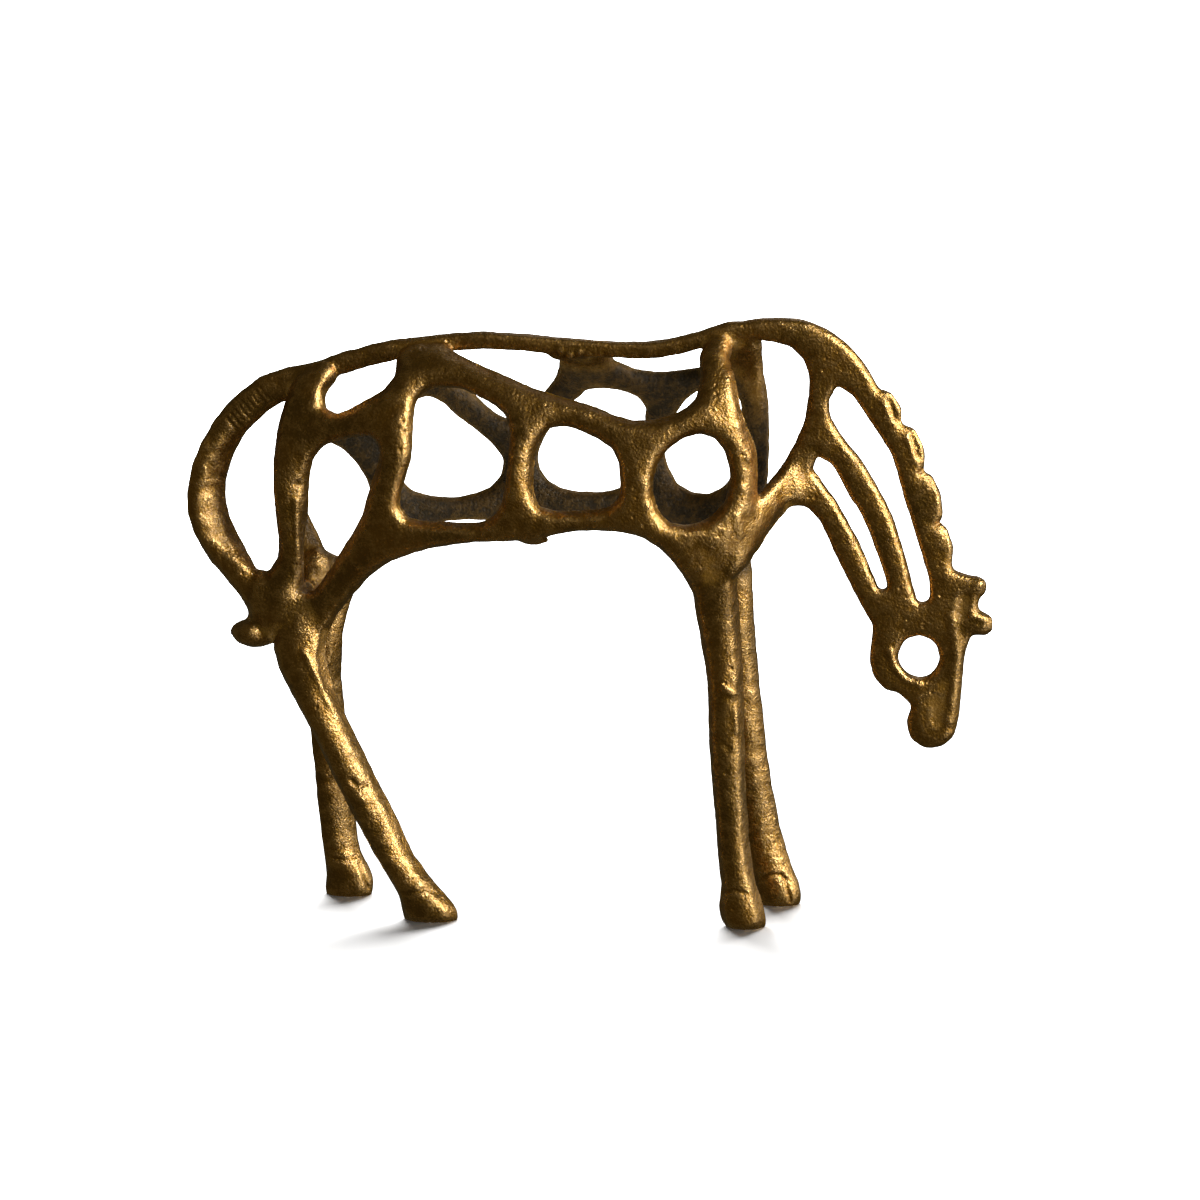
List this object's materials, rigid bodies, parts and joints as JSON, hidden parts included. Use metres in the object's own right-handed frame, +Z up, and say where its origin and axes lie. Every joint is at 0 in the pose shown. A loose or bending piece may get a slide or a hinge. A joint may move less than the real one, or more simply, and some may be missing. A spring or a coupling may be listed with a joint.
{
  "type": "horse statuette",
  "caption": "Openwork cast horse grazing with its head lowered, its body and neck pierced into strands, with a looped tail, standing on its hooves.",
  "frame": {"origin": "centre of the underside of the bounding box, on the surface that the hooves stand on", "axes": "+X towards the horse's head, +Y towards its left side, away from the picture's camera, +Z up"},
  "size_m": [0.3202, 0.0732, 0.2418],
  "materials": {
    "antique_brass": "sand-cast, dark brown patina rubbed back to gold on the high spots, semi-gloss"
  },
  "bodies": {
    "root": {"horse": "antique_brass"}
  },
  "joints": []
}
